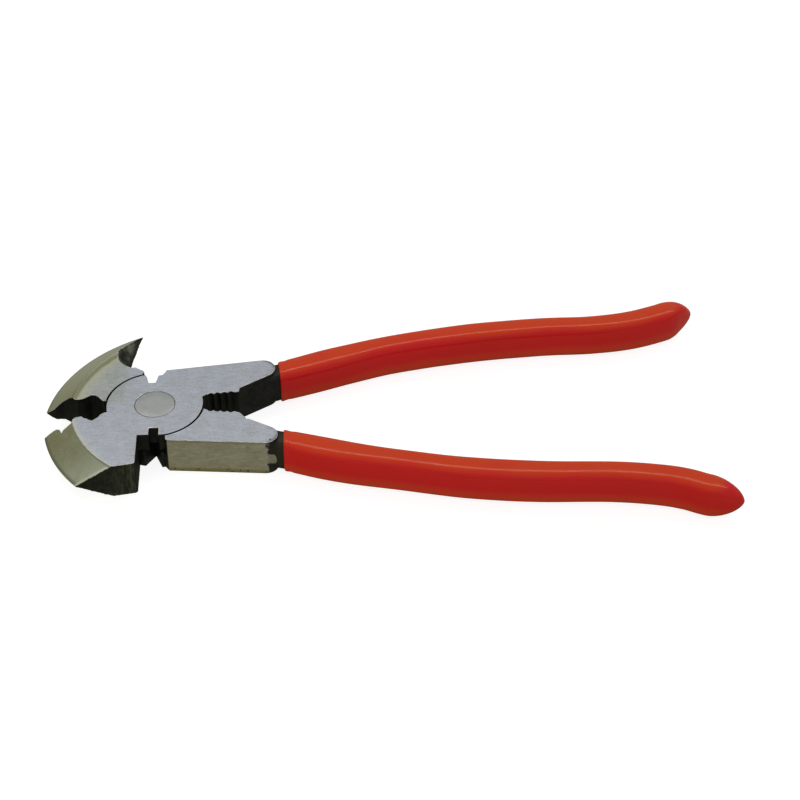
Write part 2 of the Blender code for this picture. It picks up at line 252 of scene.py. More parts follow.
class Nodes:
    """A node tree and short ways of adding to it. A value is a socket or a plain number."""

    def __init__(self, tree):
        self.tree = tree

    def add(self, kind, inputs=None, **settings):
        node = self.tree.nodes.new(kind)
        for name, value in settings.items():
            setattr(node, name, value)
        for name, value in (inputs or {}).items():
            if isinstance(value, bpy.types.NodeSocket):
                self.tree.links.new(value, node.inputs[name])
            else:
                node.inputs[name].default_value = value
        return node

    def maths(self, operation, a, b=0.0):
        node = self.add("ShaderNodeMath", {0: a, 1: b}, operation=operation)
        return node.outputs["Value"]

    def times(self, product, *factors):
        for factor in factors:
            product = self.maths("MULTIPLY", product, factor)
        return product

    def remap(self, value, start, end, low=0.0, high=1.0):
        """Goes evenly from low to high while a value goes from start to end."""
        inputs = {
            "Value": value,
            "From Min": start,
            "From Max": end,
            "To Min": low,
            "To Max": high,
        }
        return self.add("ShaderNodeMapRange", inputs).outputs["Result"]

    def fade(self, length, start, end, low=0.0, high=1.0):
        """Goes evenly from low to high while a length goes from start to end millimetres."""
        return self.remap(length, start * MM, end * MM, low, high)

    def ramp(self, value, *stops):
        """A colour or grey ramp from (position, colour) stops."""
        node = self.add("ShaderNodeValToRGB", {"Fac": value})
        elements = node.color_ramp.elements
        while len(elements) < len(stops):
            elements.new(0.5)
        for element, (position, colour) in zip(elements, stops):
            if isinstance(colour, (int, float)):
                colour = (colour, colour, colour)
            element.position = position
            element.color = (*colour, 1.0)
        return node.outputs["Color"]

    def blend(self, share, a, b, kind="MIX"):
        """Mixes colour b into colour a, by a share of one at most."""
        node = self.add("ShaderNodeMix", data_type="RGBA", blend_type=kind)
        for index, value in ((0, share), (6, a), (7, b)):
            if isinstance(value, bpy.types.NodeSocket):
                self.tree.links.new(value, node.inputs[index])
            elif index == 0:
                node.inputs[index].default_value = value
            else:
                node.inputs[index].default_value = (*value, 1.0)
        return node.outputs[2]


class Shader(Nodes):
    """A Principled material, patterned in the object's own coordinates."""

    def __init__(self, name, **values):
        self.material = bpy.data.materials.new(name)
        self.material.use_nodes = True
        super().__init__(self.material.node_tree)
        self.surface = self.tree.nodes["Principled BSDF"]
        for socket, value in values.items():
            self.surface.inputs[socket.replace("_", " ")].default_value = value
        self.place = self.add("ShaderNodeTexCoord").outputs["Object"]

    def axis(self, letter):
        return self.add("ShaderNodeSeparateXYZ", {"Vector": self.place}).outputs[letter]

    def vector(self, operation, a, b=(0.0, 0.0, 0.0)):
        return self.add("ShaderNodeVectorMath", {0: a, 1: b}, operation=operation).outputs

    def noise(self, size, detail=4.0, roughness=0.55, stretch=(1.0, 1.0, 1.0), distortion=0.0):
        """Noise whose features are about size millimetres, stretched along the axes."""
        scale = tuple(1.0 / (size * MM * s) for s in stretch)
        place = self.add("ShaderNodeMapping", {"Vector": self.place, "Scale": scale})
        inputs = {
            "Vector": place.outputs["Vector"],
            "Scale": 1.0,
            "Detail": detail,
            "Roughness": roughness,
            "Distortion": distortion,
        }
        return self.add("ShaderNodeTexNoise", inputs).outputs["Fac"]

    def wander(self, length, amount, size, *noise):
        """Makes a length ragged, by noise of up to an amount of millimetres."""
        ragged = self.times(self.noise(size, *noise), amount * MM)
        return self.maths("ADD", length, ragged)

    def spot(self, place, radius, ragged=0.5):
        """One at a point, fading in a ragged way to nothing at a distance in millimetres."""
        away = self.vector("DISTANCE", self.place, Vector(place) * MM)["Value"]
        away = self.wander(away, ragged * 2 * radius, radius * 0.6)
        return self.fade(away, radius * (1 + ragged), radius * (0.4 + ragged))

    def paint(self, colour, roughness=None, metallic=None, height=None, depth=0.1):
        """Connects the finished patterns to the surface. Height's depth is in millimetres."""
        patterns = {"Base Color": colour, "Roughness": roughness, "Metallic": metallic}
        if height is not None:
            bump = self.add("ShaderNodeBump", {"Height": height, "Distance": depth * MM})
            patterns["Normal"] = bump.outputs["Normal"]
        for socket, pattern in patterns.items():
            if pattern is not None:
                self.tree.links.new(pattern, self.surface.inputs[socket])
        return self.material


def ridge_distance(shader):
    """Distance from the axis of the cone that the jaw on this side is ground to."""
    centre = BEVEL_CENTRE["hammer_half"]
    across = shader.maths("SUBTRACT", shader.axis("X"), centre.x * MM)
    upward = shader.maths("ADD", shader.maths("ABSOLUTE", shader.axis("Y")), centre.y * MM)
    squares = shader.maths("ADD", shader.times(across, across), shader.times(upward, upward))
    return shader.maths("SQRT", squares)


def strike_distance(shader):
    """Distance inwards from the striking face's plane."""
    along = (STRIKE_END - STRIKE_START).normalized()
    inward = Vector((-along.y, along.x, 0.0))
    reach = shader.vector("DOT_PRODUCT", shader.place, inward)["Value"]
    return shader.maths("SUBTRACT", reach, STRIKE_END.dot(inward.xy) * MM)


def on_claw_jaw(shader):
    """One on the claw jaw, nothing on the rest of the tool."""
    left = shader.fade(shader.axis("X"), -9.0, -13.0)
    return shader.times(left, shader.fade(shader.axis("Y"), 0.0, 3.0))


def ridge_reflection(shader, tone, share):
    """Paints a soft olive reflection band along the claw's ridge, wandering inwards up the spike.
    """
    lean = shader.times(shader.axis("Y"), RIDGE_LEAN)
    reach = shader.wander(shader.maths("ADD", ridge_distance(shader), lean), 1.2, 4.0)
    start = shader.fade(reach, RIDGE_REFLECTION_RADIUS - 1.6, RIDGE_REFLECTION_RADIUS - 0.5)
    end = shader.fade(reach, RIDGE_REFLECTION_RADIUS + 2.2, RIDGE_REFLECTION_RADIUS + 0.5)
    return shader.blend(shader.times(start, end, share), tone, (0.235, 0.245, 0.135))


def tip_rim_shade(shader, x, y, radius):
    """Painted shade in a band inside the outline of a shank's round tip, strongest on its outer
    side.
    """
    offset = shader.vector("SUBTRACT", shader.place, (x * MM, y * MM, 0.0))["Vector"]
    level = shader.vector("MULTIPLY", offset, (1, 1, 0))["Vector"]
    away = shader.vector("LENGTH", level)["Value"]
    rim = shader.fade(away, radius - 1.5, radius - 0.1)
    rim = shader.times(rim, shader.fade(shader.axis("X"), x, x + 1.5))
    side = shader.fade(shader.axis("Y"), y, y + math.copysign(0.5, y))
    near = shader.fade(away, radius + 2.0, radius + 1.0)
    return shader.times(shader.maths("MAXIMUM", side, 0.35), rim, near)


def ground_steel(name, base, warm, roughness, stretch):
    """Ground steel: streaks along the grinding, cloudy tone, small specks and scratches."""
    shader = Shader(name, Metallic=0.92, IOR=2.2)
    cloud = shader.noise(5.0, 5.0, 0.7)
    streak = shader.noise(0.5, 5.0, 0.75, stretch)
    fine = shader.noise(0.45, 4.0, 0.7)
    speck = shader.noise(1.3, 4.0, 0.75, distortion=0.6)
    scratch = shader.noise(0.32, 1.0, 0.5, tuple(3 * s for s in stretch), 0.3)
    tone = shader.blend(shader.remap(cloud, 0.38, 0.62), base, warm)
    tone = shader.blend(0.8, tone, shader.ramp(streak, (0.32, 0.70), (0.62, 1.0)), "MULTIPLY")
    tone = shader.blend(0.8, tone, shader.ramp(fine, (0.36, 0.70), (0.58, 1.0)), "MULTIPLY")
    pits = shader.remap(speck, 0.60, 0.68, 0.0, 0.5)
    tone = shader.blend(pits, tone, (0.16, 0.165, 0.15))
    lines = shader.remap(scratch, 0.70, 0.74, 0.0, 0.35)
    tone = shader.blend(lines, tone, (0.15, 0.15, 0.14))
    dull = shader.remap(streak, 0.3, 0.7, roughness - 0.06, roughness + 0.08)
    height = shader.maths("ADD", shader.times(streak, 0.7), fine)
    height = shader.maths("SUBTRACT", height, pits)
    return shader, tone, dull, height


def flat_steel():
    """The flat faces: painted straw and olive reflections along the jaws' ridges, painted shade at
    the shanks' tips.
    """
    base, warm = (0.51, 0.555, 0.605), (0.475, 0.505, 0.53)
    shader, tone, dull, height = ground_steel("ground_flat", base, warm, 0.42, (9.0, 1.0, 1.0))
    reach = ridge_distance(shader)
    claw = on_claw_jaw(shader)
    tone = shader.blend(shader.times(claw, 0.8), tone, (0.87, 0.88, 0.75), "MULTIPLY")
    # Painted reflection: straw rising towards the claw's ridge.
    straw = shader.fade(shader.wander(reach, 12.0, 3.6, 5.0, 0.7), 47.0, 51.5, 0.0, 0.85)
    tone = shader.blend(shader.times(straw, claw), tone, (0.44, 0.455, 0.315))
    # Painted reflection: the olive band along the claw's ridge.
    tone = ridge_reflection(shader, tone, claw)
    jaws = shader.fade(shader.axis("X"), -14.0, -20.0)
    hammer = shader.maths("SUBTRACT", jaws, claw)
    # Painted highlight: a pale band along the hammer's ridge, on the flat's side.
    ridge = shader.fade(reach, BEVEL_RIDGE_RADIUS - 2.2, BEVEL_RIDGE_RADIUS - 0.6)
    fading = shader.fade(shader.axis("Y"), -34.0, -16.0, 0.2, 0.75)
    tone = shader.blend(shader.times(ridge, hammer, fading), tone, (0.52, 0.53, 0.44))
    # Painted shade inside the rims of the shanks' round tips.
    for x, y, radius in SHANK_TIPS:
        tone = shader.blend(tip_rim_shade(shader, x, y, radius), tone, (0.10, 0.11, 0.09))
    tone = shader.blend(shader.spot(*SHANK_PIT), tone, (0.01, 0.01, 0.01))
    return shader.paint(tone, dull, height=height, depth=0.016)


def bevel_steel():
    """The jaws' ground bevels: olive, cloudy, a darker warm patch, greyer and darker up the claw,
    with painted light and shade.
    """
    base, warm = (0.52, 0.535, 0.42), (0.46, 0.465, 0.355)
    shader, tone, dull, height = ground_steel("ground_bevel", base, warm, 0.32, (1.0, 1.0, 3.0))
    reach = ridge_distance(shader)
    claw = on_claw_jaw(shader)
    # Painted light: the bevel grows lighter towards the poll.
    poll = shader.fade(shader.axis("Y"), -24.0, -37.0, 0.0, 0.85)
    tone = shader.blend(poll, tone, (0.665, 0.685, 0.53))
    patch = shader.remap(shader.noise(8.0, 3.0, 0.6), 0.5, 0.66, 0.0, 0.35)
    tone = shader.blend(patch, tone, (0.39, 0.37, 0.26))
    tone = shader.blend(shader.times(claw, 0.8), tone, (0.435, 0.46, 0.41))
    rise = shader.fade(shader.axis("Y"), 18.0, 45.0, 0.0, 0.5)
    tone = shader.blend(shader.times(rise, claw), tone, (0.36, 0.38, 0.36))
    # Painted reflection: the olive band along the claw's ridge.
    tone = ridge_reflection(shader, tone, claw)
    # Painted shade along the bevel's outer edge.
    rim = shader.fade(reach, BEVEL_EDGE_RADIUS - 1.3, BEVEL_EDGE_RADIUS - 0.5)
    tone = shader.blend(shader.times(rim, 0.6), tone, (0.13, 0.15, 0.10))
    # A darker warm patch on the hammer's bevel.
    dark_patch = shader.spot(*JAW_DARK_PATCH)
    tone = shader.blend(shader.times(dark_patch, 0.5), tone, (0.40, 0.35, 0.25))
    # Painted highlight along the bevel's foot at the striking face.
    foot = shader.fade(strike_distance(shader), 1.6, 0.6, 0.0, 0.8)
    tone = shader.blend(foot, tone, (0.97, 0.97, 0.82))
    # Painted shade along the bevel's side of the ridge.
    ridge = shader.fade(reach, BEVEL_RIDGE_RADIUS + 0.9, BEVEL_RIDGE_RADIUS + 0.5)
    fading = shader.fade(shader.axis("Y"), -12.0, -24.0, 0.3, 0.95)
    tone = shader.blend(shader.times(ridge, fading), tone, (0.36, 0.37, 0.29))
    return shader.paint(tone, dull, height=height, depth=0.014)


def side_steel():
    """The shanks' ground sides: grinding stops in a ragged line, with black scale beyond."""
    shader = Shader("ground_side", IOR=1.4)
    cloud = shader.noise(3.6, 5.0, 0.7, (2.0, 1.0, 1.0))
    streak = shader.noise(0.55, 5.0, 0.75, (8.0, 1.0, 1.0))
    speck = shader.noise(1.3, 4.0, 0.75, (1.6, 1.0, 1.0), 0.6)
    tone = shader.blend(shader.remap(cloud, 0.36, 0.62), (0.56, 0.56, 0.51), (0.45, 0.44, 0.365))
    tone = shader.blend(0.8, tone, shader.ramp(streak, (0.32, 0.66), (0.62, 1.0)), "MULTIPLY")
    pits = shader.remap(speck, 0.60, 0.68, 0.0, 0.55)
    tone = shader.blend(pits, tone, (0.12, 0.11, 0.08))
    top = shader.fade(shader.axis("Z"), THICKNESS - 1.6, THICKNESS - 0.4, 0.0, 0.45)
    tone = shader.blend(top, tone, (0.20, 0.20, 0.15))
    height = shader.wander(shader.axis("Z"), 0.8, 2.6, 4.0, 0.6, (2.0, 1.0, 1.0))
    foot = shader.fade(height, 1.9, 2.5, 0.85, 0.0)
    tone = shader.blend(foot, tone, (0.30, 0.29, 0.105))
    lowest = shader.fade(shader.axis("Z"), 0.9, 0.3, 0.0, 0.6)
    tone = shader.blend(lowest, tone, (0.14, 0.13, 0.06))
    nicks = shader.remap(shader.noise(1.5, 2.0, 0.5, (1.0, 1.0, 1.7)), 0.60, 0.64)
    reach = shader.wander(shader.axis("X"), 4.5, 3.0, 3.0, 0.55)
    scale = shader.fade(reach, SCALE_START, SCALE_START + 0.5)
    bare = shader.spot(*BARE_PATCH, 0.45)
    scale = shader.times(scale, shader.remap(bare, 0.2, 0.5, 1.0, 0.25))
    covered = shader.maths("MAXIMUM", scale, shader.times(nicks, foot, 0.8))
    tone = shader.blend(covered, tone, (0.010, 0.011, 0.008))
    metal = shader.remap(covered, 0.0, 1.0, 0.92, 0.1)
    dull = shader.remap(covered, 0.0, 1.0, 0.42, 0.6)
    bumps = shader.maths("SUBTRACT", shader.times(streak, 0.12), covered)
    return shader.paint(tone, dull, metal, bumps, 0.08)


def forged_steel(name, dark, light, roughness, size, metallic=0.1, index=1.35):
    """Forged steel under black oxide: lumpy, with patches of bare metal showing through."""
    shader = Shader(name, Metallic=metallic, IOR=index)
    lumps = shader.noise(size, 5.0, 0.62)
    grain = shader.noise(0.4, 4.0, 0.65)
    draw = shader.noise(0.9, 3.0, 0.6, (1.0, 1.0, 7.0))
    tone = shader.blend(shader.remap(lumps, 0.42, 0.68), dark, light)
    tone = shader.blend(0.5, tone, shader.ramp(draw, (0.35, 0.5), (0.65, 1.0)), "MULTIPLY")
    tone = shader.blend(0.6, tone, shader.ramp(grain, (0.36, 0.45), (0.62, 1.0)), "MULTIPLY")
    dull = shader.remap(grain, 0.3, 0.7, roughness - 0.08, roughness + 0.1)
    height = shader.maths("ADD", lumps, shader.times(grain, 0.35))
    return shader, tone, dull, height


def black_forged():
    """The forged walls and necks, browner on the claw half's neck."""
    dark, light = (0.0035, 0.0055, 0.007), (0.014, 0.018, 0.017)
    shader, tone, dull, height = forged_steel("black_forged", dark, light, 0.52, 2.6)
    neck = shader.fade(shader.axis("X"), 42.0, 46.0)
    claw_side = shader.fade(shader.axis("Y"), -17.0, -21.0)
    tone = shader.blend(shader.times(neck, claw_side), tone, (0.022, 0.017, 0.009))
    return shader.paint(tone, dull, height=height, depth=0.12)


def striking_face():
    """The serrated face: black, rubbed a little bare at its inner corner and along its foot."""
    dark, light = (0.004, 0.006, 0.004), (0.026, 0.032, 0.021)
    shader, tone, dull, height = forged_steel("striking_face", dark, light, 0.5, 3.0)
    corner = shader.fade(shader.axis("X"), -17.0, -6.0)
    worn = shader.remap(shader.noise(1.0, 3.0, 0.6, (1.0, 1.0, 6.0)), 0.44, 0.62, 0.1, 0.9)
    tone = shader.blend(shader.times(corner, worn), tone, (0.066, 0.073, 0.052))
    foot = shader.fade(shader.axis("Z"), 3.0, 0.5, 0.0, 0.5)
    rub = shader.remap(shader.noise(2.0), 0.45, 0.6)
    tone = shader.blend(shader.times(foot, rub), tone, (0.07, 0.062, 0.045))
    return shader.paint(tone, dull, height=height, depth=0.12)


def spike_forged():
    """The spike's flanks: grey-green and dented, with painted light on a facet and painted shade,
    darkest in the pit where they start.
    """
    dark, light = (0.013, 0.020, 0.013), (0.18, 0.21, 0.165)
    shader, tone, dull, height = forged_steel("spike_forged", dark, light, 0.42, 2.2, 0.6, 1.4)
    # Painted light on a facet of the flank.
    facet = shader.spot(*SPIKE_FACET_LIGHT)
    tone = shader.blend(shader.times(facet, 0.6), tone, (0.25, 0.28, 0.235))
    # Painted shade in the pit where the flank starts.
    pit = shader.spot(SPIKE_PIT, SPIKE_PIT_RADIUS)
    lower = shader.fade(shader.axis("Z"), 10.4, 8.8)
    covered = shader.maths("MAXIMUM", pit, lower)
    tone = shader.blend(shader.times(covered, 0.93), tone, (0.003, 0.005, 0.003))
    metal = shader.remap(covered, 0.0, 1.0, 0.75, 0.0)
    dull = shader.maths("ADD", dull, shader.times(covered, 0.25))
    return shader.paint(tone, dull, metal, height, 0.45)


def worn_edge():
    """The thin bright line where a ground face meets a forged one."""
    shader = Shader("worn_edge", Metallic=0.95, IOR=2.2)
    wear = shader.noise(2.2, 4.0, 0.6)
    tone = shader.ramp(wear, (0.36, (0.30, 0.30, 0.28)), (0.62, (0.62, 0.62, 0.58)))
    dull = shader.remap(wear, 0.3, 0.7, 0.42, 0.28)
    return shader.paint(tone, dull, height=shader.noise(0.3), depth=0.02)


def rivet_steel():
    """The rivet's ends: ground with the head, a little warmer and streaked less."""
    shader = Shader("rivet_ground", Metallic=0.92, IOR=2.2)
    cloud = shader.noise(5.0, 3.0, 0.6)
    streak = shader.noise(0.5, 5.0, 0.65, (10.0, 1.0, 1.0))
    tone = shader.blend(shader.remap(cloud, 0.3, 0.7), (0.39, 0.42, 0.415), (0.35, 0.37, 0.335))
    tone = shader.blend(0.5, tone, shader.ramp(streak, (0.3, 0.82), (0.7, 1.0)), "MULTIPLY")
    dull = shader.remap(streak, 0.3, 0.7, 0.36, 0.5)
    return shader.paint(tone, dull, height=streak, depth=0.01)


def red_vinyl():
    """Dipped vinyl: glossy, a faint orange-peel skin, rubbed patches, painted light on its top, a
    painted floor reflection low down.
    """
    shader = Shader("red_vinyl", Metallic=0.0, IOR=1.40, Specular_IOR_Level=0.30)
    shader.surface.inputs["Subsurface Weight"].default_value = 0.05
    shader.surface.inputs["Subsurface Radius"].default_value = (1.0, 0.2, 0.1)
    shader.surface.inputs["Subsurface Scale"].default_value = 1.2 * MM
    cloud = shader.noise(22.0, 3.0, 0.5)
    skin = shader.noise(1.6, 2.0, 0.5)
    rub = shader.noise(7.0, 5.0, 0.65, (3.0, 1.0, 1.0))
    tone = shader.blend(shader.remap(cloud, 0.3, 0.7), (0.67, 0.011, 0.015), (0.62, 0.013, 0.013))
    rise = shader.maths("ADD", shader.axis("Z"), shader.times(cloud, 2.0 * MM))
    # Painted light: the vinyl is more orange on its top.
    top_light = shader.fade(rise, 14.8, 16.2)
    tone = shader.blend(top_light, tone, (0.66, 0.050, 0.005))
    # Painted reflection of the warm floor: more orange low down.
    low = shader.fade(rise, 8.5, 3.0, 0.0, 0.9)
    tone = shader.blend(low, tone, (0.62, 0.075, 0.028))
    tone = shader.blend(shader.remap(rub, 0.6, 0.8, 0.0, 0.25), tone, (0.42, 0.035, 0.018))
    dull = shader.remap(rub, 0.35, 0.8, 0.12, 0.27)
    height = shader.maths("ADD", skin, shader.times(rub, 0.4))
    return shader.paint(tone, dull, height=height, depth=0.03)


def pale_floor():
    """A matt floor that glows enough to look as white as the light around it."""
    shader = Shader("pale_floor", Roughness=0.9, IOR=1.3)
    tone = shader.blend(shader.noise(60.0, 2.0, 0.5), (0.36, 0.36, 0.36), (0.34, 0.34, 0.345))
    shader.surface.inputs["Emission Color"].default_value = (1.0, 1.0, 1.0, 1.0)
    shader.surface.inputs["Emission Strength"].default_value = 0.86
    return shader.paint(tone)


def steel_finishes():
    """Returns the finishes in the order of FLAT, BEVEL, SIDE, EDGE, FORGED, STRIKE, SPIKE."""
    makers = (flat_steel, bevel_steel, side_steel, worn_edge)
    makers += (black_forged, striking_face, spike_forged)
    return [make() for make in makers]


# Steel halves ---------------------------------------------------------------------------


def finish_of(node, centre, normal):
    """Returns which finish a face of a half has, from where it lies and which way it faces."""
    if abs(normal.z) > LEVEL_NORMAL:
        depth = min(centre.z, THICKNESS - centre.z)
        return FLAT if depth < 0.05 else FORGED
    # The bevels face straight away from the axis of their cone.
    radial = centre.xy - BEVEL_CENTRE[node]
    away = normal.xy.normalized().dot(radial.normalized())
    if centre.x < 0 and away > 0.97 and radial.length > BEVEL_RIDGE_RADIUS - 1:
        return BEVEL
    # The striking face looks along -Y, and the poll's chamfered corner is grey like the spike.
    on_jaw = centre.x < JAW_END
    if node == "hammer_half" and on_jaw and centre.y < POLL_START and normal.y < -0.5:
        return STRIKE if normal.y < -0.9 else SPIKE
    if node == "claw_half" and on_jaw and centre.y > SPIKE_START and normal.x > 0.2:
        return SPIKE
    # The shanks' ground sides face away from the middle of the tool.
    outward = normal.y if node == "hammer_half" else -normal.y
    on_shank = SHANK_SIDE_START < centre.x < SHANK_SIDE_END
    on_shank = on_shank and abs(centre.y) > SHANK_SIDE_WIDTH
    return SIDE if on_shank and outward > 0.5 else FORGED


def in_hollow(edge):
    """Tells whether an edge runs along an inner corner or round the joint's pockets."""
    heights = [abs(vert.co.z / MM - MID_HEIGHT) for vert in edge.verts]
    return not edge.is_convex or max(heights) < POCKET_REACH


def edge_weight(edge):
    """Returns an edge's share of the widest rounding, nothing where it has to stay sharp."""
    finishes = {face.material_index for face in edge.link_faces}
    middle = (edge.verts[0].co + edge.verts[1].co).xy / MM / 2
    if edge.calc_face_angle(0.0) < math.radians(ROUND_FROM_ANGLE):
        return 0.0
    if finishes == {STRIKE} or finishes == {FORGED} and in_hollow(edge):
        return 0.0
    if any((middle - point).length < reach for point, reach in SHARP_POINTS):
        return 0.0
    in_gap = abs(middle.length - DISC_RADIUS) < GAP_EDGE_REACH
    return 1.0 if in_gap and FLAT in finishes else EDGE_ROUND / GAP_ROUND


def clean_half(mesh, node):
    """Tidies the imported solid, gives each face its finish and weighs the edges to round."""
    shape = bmesh.new()
    shape.from_mesh(mesh)
    bmesh.ops.remove_doubles(shape, verts=shape.verts, dist=WELD_DISTANCE * MM)
    bmesh.ops.dissolve_limit(
        shape,
        angle_limit=math.radians(DISSOLVE_ANGLE),
        verts=shape.verts,
        edges=shape.edges,
    )
    verts = [v for v in shape.verts if (v.co.xy / MM - SPIKE_TIP).length > SPIKE_TIP_REACH]
    bmesh.ops.remove_doubles(shape, verts=verts, dist=MERGE_DISTANCE * MM)
    shape.normal_update()
    for face in shape.faces:
        face.material_index = finish_of(node, face.calc_center_median() / MM, face.normal)
    if node == "hammer_half":
        serrate(shape)
    weights = shape.edges.layers.float.new("bevel_weight_edge")
    for edge in shape.edges:
        edge[weights] = edge_weight(edge)
    shape.to_mesh(mesh)
    shape.free()


def serrate(shape):
    """Cuts upright V grooves across the striking face, which run out at its border."""
    along = (STRIKE_END - STRIKE_START).normalized()
    inward = Vector((-along.y, along.x, 0.0))
    reach = (STRIKE_END - STRIKE_START).length
    half_pitch = SERRATION_PITCH / 2
    heights = (SERRATION_FADE, THICKNESS - SERRATION_FADE)
    cuts = [(Vector((0, 0, height)), Vector((0, 0, 1))) for height in heights]
    for i in range(1, int(reach / half_pitch)):
        place = STRIKE_END - along * (i * half_pitch)
        cuts.append((Vector((*place, 0)), Vector((*along, 0))))
    for place, normal in cuts:
        faces = [face for face in shape.faces if face.material_index == STRIKE]
        edges = dict.fromkeys(edge for face in faces for edge in face.edges)
        verts = dict.fromkeys(vert for face in faces for vert in face.verts)
        bmesh.ops.bisect_plane(
            shape,
            geom=faces + list(edges) + list(verts),
            dist=0.01 * MM,
            plane_co=place * MM,
            plane_no=normal,
        )
    for vert in shape.verts:
        finishes = {face.material_index for face in vert.link_faces}
        step = (STRIKE_END - vert.co.xy / MM).dot(along) / half_pitch
        on_cut = abs(step - round(step)) <= 0.05 and step >= 0.5
        if STRIKE in finishes and on_cut and round(step) % 2 == 1:
            height = min(vert.co.z, THICKNESS * MM - vert.co.z) / MM
            inner = finishes == {STRIKE} and height > SERRATION_FADE - 0.1
            depth = SERRATION_DEPTH if inner else SERRATION_DEPTH * SERRATION_BORDER_SHARE
            vert.co += inward * depth * MM


def applied(obj):
    """Replaces an object's mesh with what its modifiers make of it."""
    graph = bpy.context.evaluated_depsgraph_get()
    mesh = bpy.data.meshes.new_from_object(obj.evaluated_get(graph))
    obj.modifiers.clear()
    obj.data = mesh
    return obj


def beside(face):
    """Returns the faces across a face's longer edges, and the face itself."""
    longest = max(edge.calc_length() for edge in face.edges)
    long = [edge for edge in face.edges if edge.calc_length() > longest / 2]
    return {other for edge in long for other in edge.link_faces}


def strip_finish(strip):
    """Returns a rounded strip's finish: EDGE only between a ground face and a forged one."""
    near = beside(strip)
    near |= {other for side in near for other in beside(side)}
    finishes = {face.material_index for face in near} - {EDGE}
    radius = strip.calc_center_median().xy.length / MM
    in_gap = abs(radius - DISC_RADIUS) < GAP_STRIP_REACH
    if finishes and finishes <= {FLAT, BEVEL}:
        return max(finishes)
    if in_gap and FORGED in finishes:
        return FORGED
    if finishes and not finishes & {FLAT, BEVEL}:
        return min(finishes)
    return EDGE


def round_edges(obj):
    """Rounds the weighted edges and gives the new strips their finishes."""
    rounding = obj.modifiers.new("round", "BEVEL")
    rounding.limit_method = "WEIGHT"
    rounding.width = GAP_ROUND * MM
    rounding.segments = 2
    rounding.use_clamp_overlap = False
    rounding.material = EDGE
    applied(obj)
    shape = bmesh.new()
    shape.from_mesh(obj.data)
    strips = [face for face in shape.faces if face.material_index == EDGE]
    finishes = [strip_finish(strip) for strip in strips]
    for strip, finish in zip(strips, finishes):
        strip.material_index = finish
    shape.to_mesh(obj.data)
    shape.free()


def triangulate(shape, faces):
    """Triangulates faces, and drops the pairs that cover the same three corners."""
    bmesh.ops.triangulate(shape, faces=faces)
    alike = {}
    for face in shape.faces:
        if len(face.verts) == 3:
            alike.setdefault(frozenset(face.verts), []).append(face)
    twins = [face for group in alike.values() if len(group) > 1 for face in group]
    bmesh.ops.delete(shape, geom=twins, context="FACES")


def rough_faces(shape):
    """Returns the forged faces of a half, short of its neck."""
    faces = [face for face in shape.faces if face.material_index in ROUGH]
    return [face for face in faces if face.calc_center_median().x < NECK_START * MM]


def forged_depth(vert):
    """Returns how deep forging sinks a point, in millimetres: lumps, and the spike's pit."""
    place = vert.co / MM
    lump = noise.noise(place / LUMP_SIZE)
    lump += 0.5 * noise.noise(place / FINE_LUMP_SIZE + FINE_LUMP_SHIFT)
    spike = any(face.material_index == SPIKE for face in vert.link_faces)
    depth = clamp(0.5 + 0.7 * lump) * (SPIKE_RELIEF_DEPTH if spike else RELIEF_DEPTH)
    if spike and place.z > MID_HEIGHT:
        near = clamp(1 - (place - Vector(SPIKE_PIT)).length / SPIKE_PIT_RADIUS)
        depth += SPIKE_PIT_DEPTH * math.sin(math.pi / 2 * near) ** 2
    return depth


def forge_relief(obj):
    """Divides the forged faces finely and sinks them in shallow, smooth lumps."""
    shape = bmesh.new()
    shape.from_mesh(obj.data)
    for _ in range(RELIEF_ROUNDS):
        triangulate(shape, rough_faces(shape))
        rough = set(rough_faces(shape))
        long = [edge for edge in shape.edges if edge.calc_length() > RELIEF_STEP * MM]
        long = [edge for edge in long if not rough.isdisjoint(edge.link_faces)]
        if not long:
            break
        bmesh.ops.subdivide_edges(shape, edges=long, cuts=1)
    shape.normal_update()
    moves = {}
    for vert in shape.verts:
        forged = all(face.material_index in ROUGH for face in vert.link_faces)
        if forged and vert.co.x <= NECK_START * MM:
            moves[vert] = -vert.normal * forged_depth(vert) * MM
    for vert, move in moves.items():
        vert.co += move
    for vert in shape.verts:
        vert.co.z = clamp(vert.co.z, 0.0, THICKNESS * MM)
    shape.to_mesh(obj.data)
    shape.free()


def shade_edges(mesh, sharp_from):
    """Shades a mesh smooth, with its edges kept sharp from an angle in degrees."""
    shape = bmesh.new()
    shape.from_mesh(mesh)
    for face in shape.faces:
        face.smooth = True
    for edge in shape.edges:
        edge.smooth = edge.calc_face_angle(0.0) < math.radians(sharp_from)
    shape.to_mesh(mesh)
    shape.free()


def make_half(node, body, finishes):
    obj = bpy.data.objects.new(f"{node}_steel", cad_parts[node].data.copy())
    bpy.context.scene.collection.objects.link(obj)
    obj.data.materials.clear()
    for finish in finishes:
        obj.data.materials.append(finish)
    clean_half(obj.data, node)
    round_edges(obj)
    forge_relief(obj)
    shade_edges(obj.data, sharp_from=48)
    normals = obj.modifiers.new("normals", "WEIGHTED_NORMAL")
    normals.keep_sharp = True
    normals.weight = 60
    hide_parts(node)
    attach(obj, body)
    return obj


# Rivet ----------------------------------------------------------------------------------


